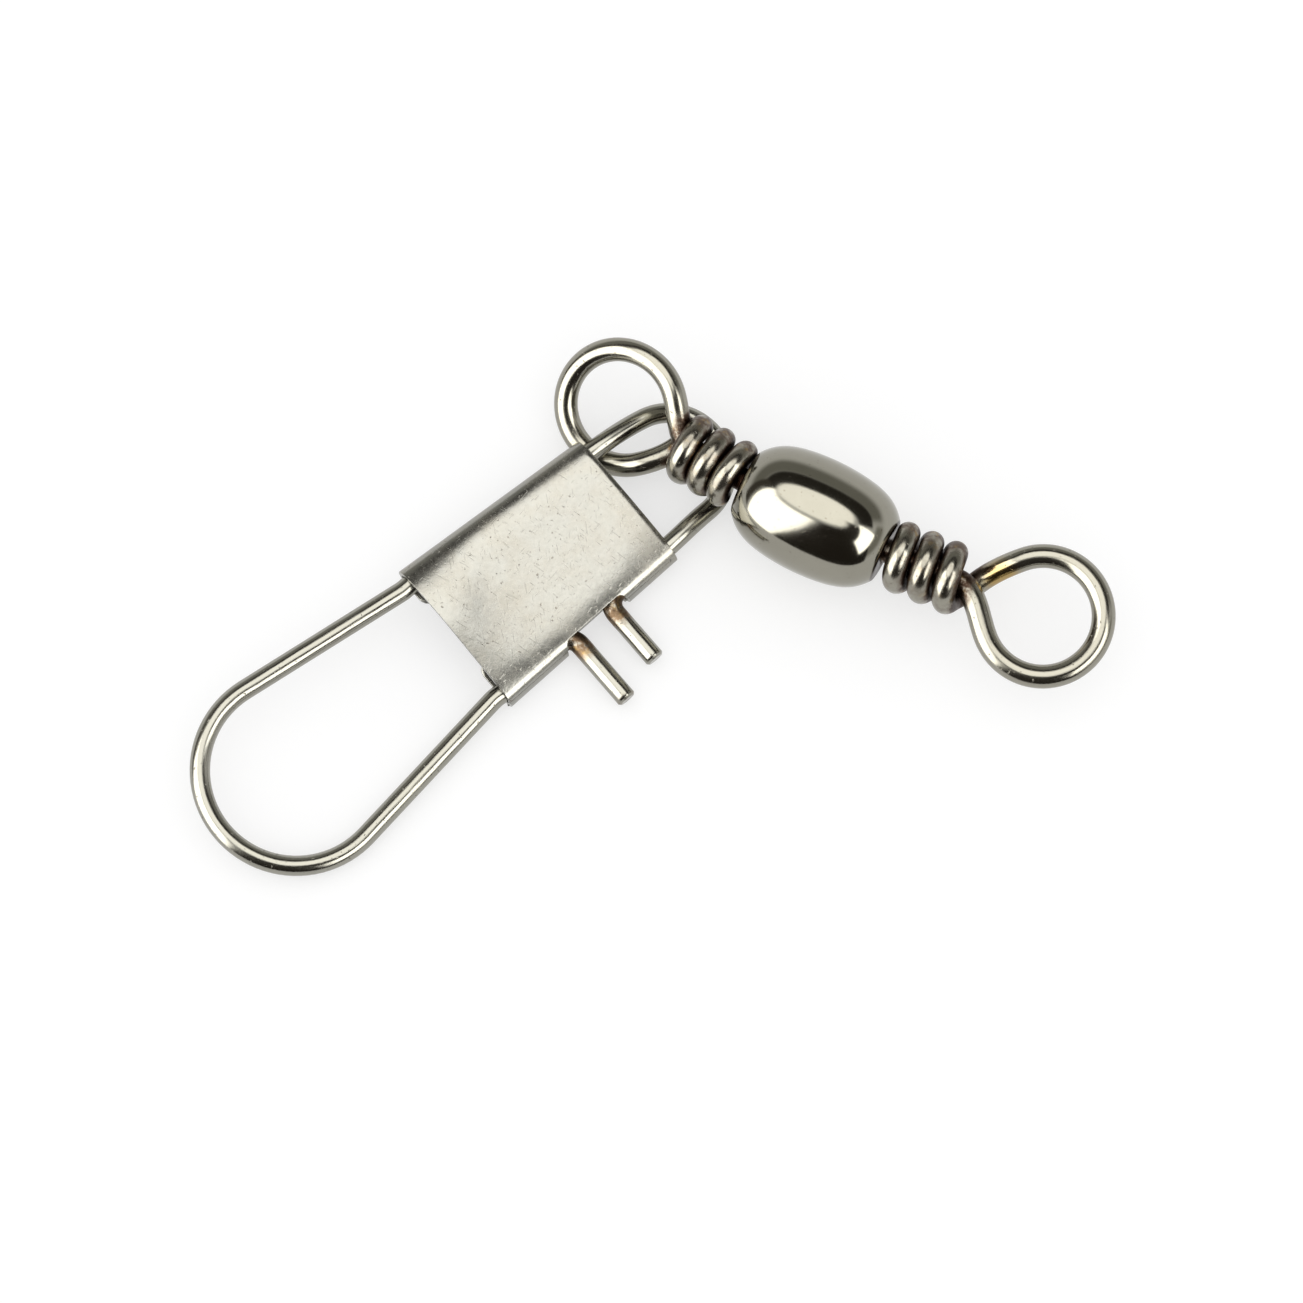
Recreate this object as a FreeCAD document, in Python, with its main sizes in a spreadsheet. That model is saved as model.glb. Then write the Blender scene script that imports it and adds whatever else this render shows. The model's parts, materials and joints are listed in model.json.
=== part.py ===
"""Snap swivel for a fishing line: a crimped barrel with a spinning wire eye in each end,
and a wire snap with a folded lock plate hung on the front eye.

The part lies on a surface as it was laid down: barrel, snap loops and front ring rest on it.
X runs to the right along the length, Z is up, the origin is under the middle of the part.
"""
import FreeCAD, Part
import Sketcher
import math
import os
from FreeCAD import Placement, Rotation, Vector

doc = FreeCAD.newDocument("SnapSwivel")

# Driving dimensions, in millimetres and degrees
SIZES = [
    # wire stock, sheet stock and clearances
    ("eye_wire", 0.94), ("snap_stock", 0.80), ("plate_sheet", 0.20), ("cut_end_bevel", 0.08),
    ("coil_clearance", 0.03), ("link_clearance", 0.05), ("hole_clearance", 0.08),
    ("plate_clearance", 0.035), ("rest_clearance", 0.01),
    # barrel
    ("barrel_dia", 4.66), ("barrel_end_dia", 2.92), ("barrel_length", 6.16),
    ("barrel_wall", 0.72), ("barrel_end_wall", 0.75), ("barrel_rim_round", 0.40),
    # both eyes
    ("head_dia", 1.60), ("head_length", 0.70), ("head_bevel", 0.15), ("head_play", 0.20),
    ("coil_to_barrel", 0.08), ("ring_sink", 0.46),
    # front eye, which carries the snap
    ("front_ring_dia", 4.64), ("front_ring_reach", 8.85), ("front_coil_pitch", 0.97),
    ("front_coil_turns", 2.70), ("front_throat", 50.0), ("front_bend_setback", 0.10),
    ("front_yaw", -4.5), ("front_droop", 2.6), ("front_roll", -31.0),
    # rear eye, for the line
    ("rear_ring_dia", 4.72), ("rear_ring_reach", 9.68), ("rear_coil_pitch", 1.02),
    ("rear_coil_turns", 2.72), ("rear_throat", 48.0), ("rear_bend_setback", 0.25),
    ("rear_yaw", 3.9), ("rear_droop", 0.0), ("rear_roll", 12.0),
    # snap wire
    ("big_loop_dia", 7.44), ("big_loop_reach", 8.08), ("big_loop_taper", 7.3),
    ("big_loop_straight", 7.2), ("small_loop_dia", 4.44), ("small_loop_reach", 2.25),
    ("small_loop_shift", -0.16), ("small_loop_taper", 12.0), ("small_loop_low", -55.0),
    ("prong_bend", 0.62), ("prong_lift", 5.0),
    ("rear_prong_place", 3.62), ("rear_prong_length", 3.45),
    ("front_prong_place", 5.50), ("front_prong_length", 3.00),
    # lock plate
    ("plate_length", 8.73), ("plate_half_rear", 2.80), ("plate_half_upper", 2.30),
    ("plate_half_lower", 2.50), ("upper_flange", 1.10), ("lower_flange", 1.45),
    ("flange_round", 0.45), ("flange_setback", 0.30), ("notch_start", 3.10),
    ("notch_end", 6.15), ("notch_slope", 0.32), ("notch_edge", 0.10), ("notch_round", 0.30),
    # how the pieces lie
    ("swivel_heading", -27.3), ("snap_heading", 40.6), ("snap_lean", 8.4),
    ("snap_rise", 0.3), ("link_turn", 86.0), ("link_place", 0.32),
]

sheet = doc.addObject("Spreadsheet::Sheet", "Sizes")
for row, (alias, value) in enumerate(SIZES, start=1):
    sheet.set(f"A{row}", alias)
    sheet.set(f"B{row}", str(value))
    sheet.setAlias(f"B{row}", alias)
doc.recompute()


def size(alias):
    """A driving dimension, read from the sheet."""
    return float(sheet.get(alias))


def unit(x, y, z=0.0):
    """A way of length one."""
    return Vector(x, y, z).normalize()


# Sketches: each corner is pinned to the sheet by its two coordinates

def new_sketch(body, name, plane):
    """An empty sketch on one of the body's own planes."""
    sketch = body.newObject("Sketcher::SketchObject", name)
    support = next(f for f in body.Origin.OriginFeatures if f.Role == plane)
    sketch.AttachmentSupport = [(support, "")]
    sketch.MapMode = "FlatFace"
    return sketch


def pin(sketch, point, x, y):
    """Hold a point of the sketch at two coordinates given as expressions."""
    for kind, axis, expression in (("DistanceX", -2, x), ("DistanceY", -1, y)):
        value = float(sheet.evalExpression(expression))
        if abs(value) < 1e-9:
            sketch.addConstraint(Sketcher.Constraint("PointOnObject", *point, axis))
            continue
        forward = value > 0
        ends = (-1, 1, *point) if forward else (*point, -1, 1)
        index = sketch.addConstraint(Sketcher.Constraint(kind, *ends, abs(value)))
        sketch.setExpression(f"Constraints[{index}]", expression if forward else f"-({expression})")


def draw_outline(sketch, corners, arcs=None):
    """A closed outline through corners of two expressions each.

    arcs gives, for the side that starts at a corner, a point that it passes through and
    its radius, or None for a fold that runs on smoothly from the side before.
    """
    arcs = arcs or {}
    places = [Vector(float(sheet.evalExpression(x)), float(sheet.evalExpression(y)), 0)
              for x, y in corners]
    count = len(places)
    for index, start in enumerate(places):
        end = places[(index + 1) % count]
        if index in arcs:
            x, y = arcs[index][0]
            crest = Vector(float(sheet.evalExpression(x)), float(sheet.evalExpression(y)), 0)
            sketch.addGeometry(Part.Arc(start, crest, end), False)
        else:
            sketch.addGeometry(Part.LineSegment(start, end), False)

    def end_at(side, place):
        return (side, 1) if sketch.getPoint(side, 1).distanceToPoint(place) < 1e-6 else (side, 2)

    for index, place in enumerate(places):
        before = (index - 1) % count
        ending, starting = end_at(before, place), end_at(index, place)
        smooth = index in arcs and arcs[index][1] is None
        kind = "Tangent" if smooth else "Coincident"
        sketch.addConstraint(Sketcher.Constraint(kind, *ending, *starting))
        pin(sketch, ending if index in arcs else starting, *corners[index])
        if index in arcs and not smooth:
            radius = float(sheet.evalExpression(arcs[index][1]))
            held = sketch.addConstraint(Sketcher.Constraint("Radius", index, radius))
            sketch.setExpression(f"Constraints[{held}]", arcs[index][1])


# Bent wire: a chain of straight runs and tangent arcs

def arc_edge(start, corner, end):
    """The arc that is tangent to start-corner and to corner-end."""
    to_start = (start - corner).normalize()
    to_end = (end - corner).normalize()
    half = to_start.getAngle(to_end) / 2
    if half > math.pi / 2 - 1e-6:
        return Part.makeLine(start, end)
    leg = start.distanceToPoint(corner)
    inward = (to_start + to_end).normalize()
    middle = corner + inward * (leg * (1 - math.sin(half)) / math.cos(half))
    return Part.Arc(start, middle, end).toShape()


def tangent_edges(start, start_way, end, end_way):
    """A straight run, or two arcs that meet smoothly, from one station to the next."""
    along = (end - start).normalize()
    if along.dot(start_way) > 1 - 1e-9 and along.dot(end_way) > 1 - 1e-9:
        return [Part.makeLine(start, end)]
    chord = end - start
    ways = start_way + end_way
    a = 2 * (1 - start_way.dot(end_way))
    b = 2 * chord.dot(ways)
    c = -chord.dot(chord)
    if a < 1e-9:
        leg = -c / b
    else:
        leg = (math.sqrt(b * b - 4 * a * c) - b) / (2 * a)
    first_corner = start + start_way * leg
    second_corner = end - end_way * leg
    join = (first_corner + second_corner) * 0.5
    return [arc_edge(start, first_corner, join), arc_edge(join, second_corner, end)]


def bent_wire(stations, diameter, cut_ends):
    """A round wire through stations, each a point and the way the wire runs there."""
    edges = []
    for (start, start_way), (end, end_way) in zip(stations[:-1], stations[1:]):
        edges += tangent_edges(start, start_way, end, end_way)
    first, way = stations[0]
    section = Part.Wire(Part.makeCircle(diameter / 2, first, way))
    wire = Part.Wire(edges).makePipeShell([section], True, True)
    return bevelled(wire, cut_ends, size("cut_end_bevel"))


def bevelled(solid, centres, bevel):
    """The solid with each round rim about one of the centres broken."""
    rims = []
    for edge in solid.Edges:
        middle = edge.CenterOfMass
        if edge.Closed and min(middle.distanceToPoint(centre) for centre in centres) < 1e-3:
            rims.append(edge)
    return solid.makeChamfer(bevel, rims)


# Barrel: a short brass tube, turned hollow and crimped to an egg shape over the two heads

def make_barrel():
    body = doc.addObject("PartDesign::Body", "Barrel")
    body.Label = "barrel"
    half = "Sizes.barrel_length / 2"
    end_radius = "Sizes.barrel_end_dia / 2"
    radius = "Sizes.barrel_dia / 2"
    hole = "(Sizes.eye_wire / 2 + Sizes.hole_clearance)"
    inner_half = f"({half} - Sizes.barrel_end_wall)"
    inner_end = f"({end_radius} - Sizes.barrel_wall / 3)"
    inner_radius = f"({radius} - Sizes.barrel_wall)"

    def bulge(half_chord, end, middle):
        return f"(({half_chord})^2 + ({middle} - {end})^2) / (2 * ({middle} - {end}))"

    profile = new_sketch(body, "BarrelProfile", "XY_Plane")
    draw_outline(profile, [
        (half, end_radius), (f"-{half}", end_radius), (f"-{half}", hole),
        (f"-{inner_half}", hole), (f"-{inner_half}", inner_end), (inner_half, inner_end),
        (inner_half, hole), (half, hole),
    ], {0: (("0", radius), bulge(half, end_radius, radius)),
        4: (("0", inner_radius), bulge(inner_half, inner_end, inner_radius))})
    turned = body.newObject("PartDesign::Revolution", "TurnedBarrel")
    turned.Profile = profile
    turned.ReferenceAxis = (profile, ["H_Axis"])
    turned.Angle = 360
    doc.recompute()
    rims = []
    for index, edge in enumerate(turned.Shape.Edges, start=1):
        box = edge.BoundBox
        at_end = box.XLength < 1e-4 and abs(abs(box.Center.x) - size("barrel_length") / 2) < 1e-4
        if at_end and abs(box.YLength - size("barrel_end_dia")) < 1e-3:
            rims.append(f"Edge{index}")
    rounded = body.newObject("PartDesign::Fillet", "BarrelRims")
    rounded.Base = (turned, rims)
    rounded.setExpression("Radius", "Sizes.barrel_rim_round")
    body.Tip = rounded
    return body


# Eyes: a headed wire through the barrel's end, bent to a ring and coiled round its own shank

def coil_radius():
    return size("eye_wire") + size("coil_clearance")


def coil_end():
    return size("barrel_length") / 2 + size("coil_to_barrel") + size("eye_wire") / 2


def head_start():
    return (size("barrel_length") / 2 - size("barrel_end_wall")
            - size("head_play") - size("head_length"))


def ring_station(side, turned):
    """A point of the ring and the way the wire runs there; the ring sinks as it goes round."""
    radius = size(f"{side}_ring_dia") / 2
    throat = math.radians(size(f"{side}_throat"))
    slope = size("ring_sink") / (2 * (math.pi - throat))
    place = Vector(size(f"{side}_ring_reach") + radius * math.cos(turned),
                   radius * math.sin(turned), -slope * (turned + math.pi - throat))
    return place, unit(-radius * math.sin(turned), radius * math.cos(turned), -slope)


def eye_stations(side):
    """Stations of an eye's wire. X runs outward along the shank, the ring lies near XY."""
    pitch = size(f"{side}_coil_pitch")
    turns = size(f"{side}_coil_turns")
    throat = math.radians(size(f"{side}_throat"))
    coil_start = coil_end() + pitch * turns
    outward = Vector(1, 0, 0)
    stations = [(Vector(head_start(), 0, 0), outward)]
    stations.append((Vector(coil_start - size(f"{side}_bend_setback"), 0, 0), outward))
    ring_steps = 4
    for step in range(ring_steps + 1):
        turned = (math.pi - throat) * (2 * step / ring_steps - 1)
        stations.append(ring_station(side, turned))
    radius = coil_radius()
    climb = pitch / (2 * math.pi)
    coil_steps = math.ceil(turns * 4)
    for step in range(coil_steps + 1):
        turned = turns * 2 * math.pi * step / coil_steps
        place = Vector(coil_start - climb * turned,
                       -radius * math.sin(turned), -radius * math.cos(turned))
        way = unit(-climb, -radius * math.cos(turned), radius * math.sin(turned))
        stations.append((place, way))
    return stations


def make_eye(side):
    stations = eye_stations(side)
    wire = bent_wire(stations, size("eye_wire"), [stations[-1][0]])
    outward = Vector(1, 0, 0)
    start = stations[0][0]
    head = Part.makeCylinder(size("head_dia") / 2, size("head_length"), start, outward)
    head = bevelled(head, [start, start + outward * size("head_length")], size("head_bevel"))
    eye = doc.addObject("Part::Feature", f"{side.capitalize()}Eye")
    eye.Label = f"{side}_eye"
    eye.Shape = wire.fuse(head).removeSplitter()
    return eye


# Snap wire: one spring wire, bent to a big and a small loop, with both ends out as prongs

def upper_strand(along):
    """Where the wire lies in the plate's upper fold, along the plate."""
    start, end = size("plate_half_rear"), size("plate_half_upper")
    return Vector(along, start + (end - start) * along / size("plate_length"), 0)


def lower_strand(along):
    """Where the wire lies in the plate's lower fold, along the plate."""
    start, end = size("plate_half_rear"), size("plate_half_lower")
    return Vector(along, -start - (end - start) * along / size("plate_length"), 0)


def small_loop_point(turned):
    """A point of the small loop's round end, before it is bent down, and its way outward."""
    centre = Vector(size("plate_length") + size("small_loop_reach"), size("small_loop_shift"), 0)
    outward = unit(math.cos(turned), math.sin(turned))
    return centre + outward * (size("small_loop_dia") / 2), outward


def snap_stations(drop):
    """Stations of the snap's wire. X runs along the plate, Y towards its upper fold."""
    upper_way = (upper_strand(1) - upper_strand(0)).normalize()
    lower_way = (lower_strand(1) - lower_strand(0)).normalize()
    lift = math.radians(size("prong_lift"))
    prong_way = unit(0, -math.cos(lift), math.sin(lift))
    bend = size("prong_bend")
    plate = size("plate_length")
    inset = size("snap_stock") / 2
    rear_corner = lower_strand(size("rear_prong_place"))
    front_corner = lower_strand(size("front_prong_place"))
    stations = [
        (rear_corner + prong_way * size("rear_prong_length"), -prong_way),
        (rear_corner + prong_way * bend, -prong_way),
        (rear_corner - lower_way * bend, -lower_way),
        (lower_strand(inset), -lower_way),
    ]
    # big loop: two tapering sides and a round end
    loop_steps = 3
    taper = math.radians(size("big_loop_taper"))
    centre = Vector(-size("big_loop_reach"), 0, 0)
    lower_side = unit(-math.cos(taper), -math.sin(taper))
    upper_side = unit(math.cos(taper), -math.sin(taper))
    for step in range(loop_steps + 1):
        turned = taper - math.pi / 2 - (math.pi + 2 * taper) * step / loop_steps
        outward = unit(math.cos(turned), math.sin(turned))
        place = centre + outward * (size("big_loop_dia") / 2)
        if step == 0:
            stations.append((place - lower_side * size("big_loop_straight"), lower_side))
        stations.append((place, unit(outward.y, -outward.x)))
        if step == loop_steps:
            stations.append((place + upper_side * size("big_loop_straight"), upper_side))
    stations.append((upper_strand(inset), upper_way))
    stations.append((upper_strand(plate), upper_way))
    # small loop: turned about the plate's front edge, which bends it down
    taper = math.radians(size("small_loop_taper"))
    hinge = Vector(plate, 0, 0)
    bent = Rotation(Vector(0, 1, 0), drop)
    for step in range(loop_steps + 1):
        turned = math.pi / 2 - taper - (math.pi - taper) * step / loop_steps
        place, outward = small_loop_point(turned)
        stations.append((hinge + bent.multVec(place - hinge),
                         bent.multVec(unit(outward.y, -outward.x))))
    stations.append((lower_strand(plate), -lower_way))
    stations.append((front_corner + lower_way * bend, -lower_way))
    stations.append((front_corner + prong_way * bend, prong_way))
    stations.append((front_corner + prong_way * size("front_prong_length"), prong_way))
    return stations


def make_snap_wire(drop):
    stations = snap_stations(drop)
    snap_wire = doc.addObject("Part::Feature", "SnapWire")
    snap_wire.Label = "snap_wire"
    snap_wire.Shape = bent_wire(stations, size("snap_stock"), [stations[0][0], stations[-1][0]])
    return snap_wire


# Lock plate: a sheet folded round both strands and open along the back

def plate_section(body, name, along, upper, lower):
    """The folded sheet's section across the plate, at one of its ends."""
    inner = "(Sizes.snap_stock / 2 + Sizes.plate_clearance)"
    outer = f"({inner} + Sizes.plate_sheet)"
    upper_tip = f"({upper} - Sizes.upper_flange)"
    lower_tip = f"({lower} - Sizes.lower_flange)"
    section = new_sketch(body, name, "YZ_Plane")
    section.setExpression("AttachmentOffset.Base.z", along)
    draw_outline(section, [
        (upper, outer), (f"-{lower}", outer), (f"-{lower}", f"-{outer}"),
        (f"-{lower_tip}", f"-{outer}"), (f"-{lower_tip}", f"-{inner}"),
        (f"-{lower}", f"-{inner}"), (f"-{lower}", inner), (upper, inner),
        (upper, f"-{inner}"), (upper_tip, f"-{inner}"), (upper_tip, f"-{outer}"),
        (upper, f"-{outer}"),
    ], {1: ((f"-({lower} + {outer})", "0"), None), 5: ((f"-({lower} + {inner})", "0"), None),
        7: ((f"{upper} + {inner}", "0"), None), 11: ((f"{upper} + {outer}", "0"), None)})
    return section


def make_lock_plate():
    body = doc.addObject("PartDesign::Body", "LockPlate")
    body.Label = "lock_plate"
    rear = plate_section(body, "RearSection", "0 mm",
                         "Sizes.plate_half_rear", "Sizes.plate_half_rear")
    front = plate_section(body, "FrontSection", "Sizes.plate_length * 1 mm",
                          "Sizes.plate_half_upper", "Sizes.plate_half_lower")
    folded = body.newObject("PartDesign::AdditiveLoft", "FoldedSheet")
    folded.Profile = rear
    folded.Sections = [front]
    folded.Ruled = True
    doc.recompute()

    # the notch in the lower fold, which lets both prongs out
    def fold_line(along):
        spread = "(Sizes.plate_half_lower - Sizes.plate_half_rear)"
        return f"(Sizes.plate_half_rear + {spread} * {along} / Sizes.plate_length)"

    start, end, slope = "Sizes.notch_start", "Sizes.notch_end", "Sizes.notch_slope"
    past = "-(Sizes.plate_half_rear + 2 * Sizes.snap_stock)"
    notch = new_sketch(body, "NotchOutline", "XY_Plane")
    draw_outline(notch, [
        (start, f"-({fold_line(start)} + Sizes.notch_edge)"),
        (end, f"-({fold_line(end)} + Sizes.notch_edge)"),
        (f"{end} + {slope}", past), (f"{start} - {slope}", past),
    ])
    notched = body.newObject("PartDesign::Pocket", "Notch")
    notched.Profile = notch
    notched.Type = "ThroughAll"
    notched.SideType = "Symmetric"
    doc.recompute()

    # the back flanges end short of the small loop, so that a ring can lie under the strand
    edge = "(Sizes.plate_length - Sizes.flange_setback)"
    clear = "(Sizes.plate_length + Sizes.snap_stock)"
    setback = new_sketch(body, "FlangeEnd", "XZ_Plane")
    draw_outline(setback, [(edge, "0"), (clear, "0"),
                           (clear, "-2 * Sizes.snap_stock"), (edge, "-2 * Sizes.snap_stock")])
    shortened = body.newObject("PartDesign::Pocket", "ShortFlanges")
    shortened.Profile = setback
    shortened.Type = "ThroughAll"
    shortened.SideType = "Symmetric"
    doc.recompute()

    def upright_edges(feature, wanted):
        names = []
        for index, side in enumerate(feature.Shape.Edges, start=1):
            box = side.BoundBox
            if box.XLength < 1e-4 and box.YLength < 1e-4 and wanted(box.Center):
                names.append(f"Edge{index}")
        return names

    # the flanges' free corners are round
    flange_edge = size("plate_half_rear") - min(size("upper_flange"), size("lower_flange")) + 0.01
    flanges = body.newObject("PartDesign::Fillet", "FlangeCorners")
    flanges.Base = (shortened, upright_edges(
        shortened, lambda at: at.z < 0 and abs(at.y) < flange_edge))
    flanges.setExpression("Radius", "Sizes.flange_round")
    doc.recompute()

    # so are the notch's inner corners
    notch_corners = body.newObject("PartDesign::Fillet", "NotchCorners")
    notch_corners.Base = (flanges, upright_edges(
        flanges, lambda at: at.y < -flange_edge and min(
            abs(at.x - size("notch_start")), abs(at.x - size("notch_end"))) < 1e-3))
    notch_corners.setExpression("Radius", "Sizes.notch_round")
    body.Tip = notch_corners
    return body


# How the pieces lie: the swivel's axis is level, and the snap leans on the front ring

def eye_pivot():
    """Middle of the barrel's end wall, about which a loose shank tips."""
    return size("barrel_length") / 2 - size("barrel_end_wall") / 2


def axis_height():
    """Height of the barrel's axis: on its belly, or on the snap's wire under the front coil."""
    coil = coil_radius() + size("eye_wire") / 2
    crossing = coil_end() + size("eye_wire") / 2 - eye_pivot()
    dip = crossing * math.sin(math.radians(size("front_droop")))
    on_snap = coil + dip + size("snap_stock") + size("rest_clearance") + size("link_clearance")
    return max(size("barrel_dia") / 2 + size("rest_clearance"), on_snap)


def eye_placement(side):
    heading = size("swivel_heading") + (180 if side == "front" else 0)
    turn = (Rotation(Vector(0, 0, 1), heading + size(f"{side}_yaw"))
            * Rotation(Vector(0, 1, 0), size(f"{side}_droop"))
            * Rotation(Vector(1, 0, 0), size(f"{side}_roll")))
    pivot = Vector(eye_pivot(), 0, 0)
    outward = Rotation(Vector(0, 0, 1), heading).multVec(pivot)
    place = Vector(0, 0, axis_height()) + outward - turn.multVec(pivot)
    return Placement(place, turn)


def snap_placement():
    """The snap's upper strand crosses over the low side of the front ring."""
    turn = (Rotation(Vector(0, 0, 1), size("snap_heading"))
            * Rotation(Vector(1, 0, 0), size("snap_lean"))
            * Rotation(Vector(0, 1, 0), -size("snap_rise")))
    eye = eye_placement("front")
    ring_place, ring_way = ring_station("front", math.radians(size("link_turn")))
    strand = upper_strand(size("plate_length") + size("link_place"))
    strand_way = turn.multVec((upper_strand(1) - upper_strand(0)).normalize())
    apart = eye.Rotation.multVec(ring_way).cross(strand_way).normalize()
    if apart.z < 0:
        apart = -apart
    gap = (size("eye_wire") + size("snap_stock")) / 2 + size("link_clearance")
    return Placement(eye.multVec(ring_place) + apart * gap - turn.multVec(strand), turn)


def small_loop_drop(placement):
    """How far the small loop is bent down to pass under the coil, along the surface."""
    place, _ = small_loop_point(math.radians(size("small_loop_low")))
    lever = place.x - size("plate_length")
    fall = placement.multVec(place).z - size("snap_stock") / 2 - size("rest_clearance")
    upright = placement.Rotation.multVec(Vector(0, 0, 1)).z
    return math.degrees(math.asin(fall / (lever * upright)))


snap_place = snap_placement()
swivel_turn = Rotation(Vector(0, 0, 1), size("swivel_heading"))
pieces = {
    make_barrel(): Placement(Vector(0, 0, axis_height()), swivel_turn),
    make_eye("front"): eye_placement("front"),
    make_eye("rear"): eye_placement("rear"),
    make_snap_wire(small_loop_drop(snap_place)): snap_place,
    make_lock_plate(): snap_place,
}
doc.recompute()
for piece, placement in pieces.items():
    piece.Placement = placement
doc.recompute()

# The origin goes under the middle of the whole part
extent = Part.makeCompound([piece.Shape for piece in pieces]).optimalBoundingBox()
to_origin = Vector(-extent.Center.x, -extent.Center.y, -extent.ZMin)
for piece, placement in pieces.items():
    piece.Placement = Placement(placement.Base + to_origin, placement.Rotation)
doc.recompute()

for thing in doc.Objects:
    if "Invalid" in thing.State or "Error" in thing.State:
        raise RuntimeError(f"{thing.Label} failed: {thing.State}")
for piece in pieces:
    if piece.Shape.isNull() or not piece.Shape.isValid() or len(piece.Shape.Solids) != 1:
        raise RuntimeError(f"{piece.Label} is not one valid solid")

os.makedirs("parts", exist_ok=True)
for piece in pieces:
    piece.Shape.exportStep(f"parts/{piece.Label}.step")
    print(piece.Label, round(piece.Shape.Volume, 3), "mm3")
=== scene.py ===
import json
import math
import bpy
from mathutils import Matrix, Vector


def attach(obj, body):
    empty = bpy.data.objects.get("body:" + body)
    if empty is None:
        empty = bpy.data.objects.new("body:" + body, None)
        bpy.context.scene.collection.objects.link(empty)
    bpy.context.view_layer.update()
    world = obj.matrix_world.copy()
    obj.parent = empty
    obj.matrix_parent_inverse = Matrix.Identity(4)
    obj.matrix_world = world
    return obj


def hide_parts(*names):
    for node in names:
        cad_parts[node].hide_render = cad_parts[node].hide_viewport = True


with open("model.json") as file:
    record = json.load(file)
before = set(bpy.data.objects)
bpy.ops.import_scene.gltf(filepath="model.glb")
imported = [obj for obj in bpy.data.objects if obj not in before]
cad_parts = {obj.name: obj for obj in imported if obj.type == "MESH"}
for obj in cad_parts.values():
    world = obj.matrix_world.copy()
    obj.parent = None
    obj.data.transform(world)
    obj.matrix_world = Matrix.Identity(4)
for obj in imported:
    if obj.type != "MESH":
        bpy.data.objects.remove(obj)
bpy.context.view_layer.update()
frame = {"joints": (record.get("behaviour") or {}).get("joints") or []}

# --- The two eyes
# Each eye is one length of brass wire, nickel plated. A head is struck on its inner end, and
# outside the barrel it is bent to a ring and wrapped back round its own shank, a little over
# two and a half times.

# sizes are in mm and angles in degrees, here and in the sections below
MM = 0.001
EYE_WIRE = 0.94
COIL_CLEARANCE = 0.03
RING_SINK = 0.46
HEAD = {"dia": 1.60, "face": 1.30, "length": 0.70, "bevel": 0.15, "play": 0.20}
BARREL_LENGTH = 6.16
END_WALL = 0.75
CUT_END_BEVEL = 0.08
EYES = {
    "front_eye": {"ring": 4.64, "reach": 8.85, "pitch": 0.97, "turns": 2.70,
                  "coil_start": 6.02, "closed": 0.9, "fanned": 0.9, "throat": 50, "setback": 0.65,
                  "roll": -31,
                  "dive": ((6.11, 0.0, -0.97), (-0.25, -0.97, 0.0))},
    "rear_eye": {"ring": 4.72, "reach": 9.66, "pitch": 1.02, "turns": 2.72,
                 "coil_start": 6.28, "closed": 0.5, "fanned": 0.3, "throat": 48, "setback": 0.25,
                 "roll": 12,
                 "dive": ((6.62, 0.0, -0.96), (-0.45, -0.89, 0.0))},
}


class Level:
    """A value that runs through a node tree, with the sums that it can enter."""

    def __init__(self, board, socket):
        self.board = board
        self.socket = socket

    def combined(self, operation, first, second):
        return self.board.node("ShaderNodeMath", {"operation": operation}, {0: first, 1: second})

    def __add__(self, other):
        return self.combined("ADD", self, other)

    def __sub__(self, other):
        return self.combined("SUBTRACT", self, other)

    def __rsub__(self, other):
        return self.combined("SUBTRACT", other, self)

    def __mul__(self, other):
        return self.combined("MULTIPLY", self, other)

    __radd__ = __add__
    __rmul__ = __mul__


class Board:
    """A node tree that is filled one node at a time."""

    def __init__(self, tree):
        self.tree = tree

    def node(self, kind, settings=None, sockets=None, out=0):
        """Adds a node with its settings, then its sockets' values or links, and gives an output."""
        made = self.tree.nodes.new(kind)
        for name, value in (settings or {}).items():
            if name == "stops":
                ramp = made.color_ramp
                while len(ramp.elements) < len(value):
                    ramp.elements.new(1)
                for element, (place, shade) in zip(ramp.elements, value):
                    element.position = place
                    element.color = (shade, shade, shade, 1)
            else:
                setattr(made, name, value)
        for key, value in (sockets or {}).items():
            if isinstance(value, Level):
                self.tree.links.new(value.socket, made.inputs[key])
            else:
                made.inputs[key].default_value = value
        return Level(self, made.outputs[out]) if made.outputs else made

    def ramp(self, value, *stops):
        """Turns a value into another by straight pieces between stops."""
        return self.node("ShaderNodeValToRGB", {"stops": stops}, {0: value})

    def noise(self, vector, scale, detail=2.0, roughness=0.5):
        return self.node("ShaderNodeTexNoise", {}, {
            "Vector": vector, "Scale": scale, "Detail": detail, "Roughness": roughness})

    def stretched(self, vector, scale, turn=0.0):
        """The vector, turned about Z and then scaled by its own factor on each axis."""
        return self.node("ShaderNodeMapping", {"vector_type": "TEXTURE"}, {
            "Vector": vector, "Rotation": (0, 0, math.radians(turn)),
            "Scale": [1 / factor for factor in scale]})

    def mixed(self, factor, first, second):
        """One colour blended into another."""
        return self.node("ShaderNodeMix", {"data_type": "RGBA"},
                         {0: factor, 6: first, 7: second}, out=2)


def new_finish(name):
    """A material with an empty board."""
    material = bpy.data.materials.new(name)
    material.use_nodes = True
    material.node_tree.nodes.clear()
    return material, Board(material.node_tree)


def metal(board, colour, roughness, bump, lift):
    """Ends a board in a metal whose colour, roughness and relief come from its nodes."""
    relief = board.node("ShaderNodeBump", {}, {"Strength": 1.0, "Distance": lift, "Height": bump})
    shader = board.node("ShaderNodeBsdfPrincipled", {}, {
        "Base Color": colour, "Metallic": 1.0, "Roughness": roughness, "Normal": relief})
    board.node("ShaderNodeOutputMaterial", {}, {"Surface": shader})


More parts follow.
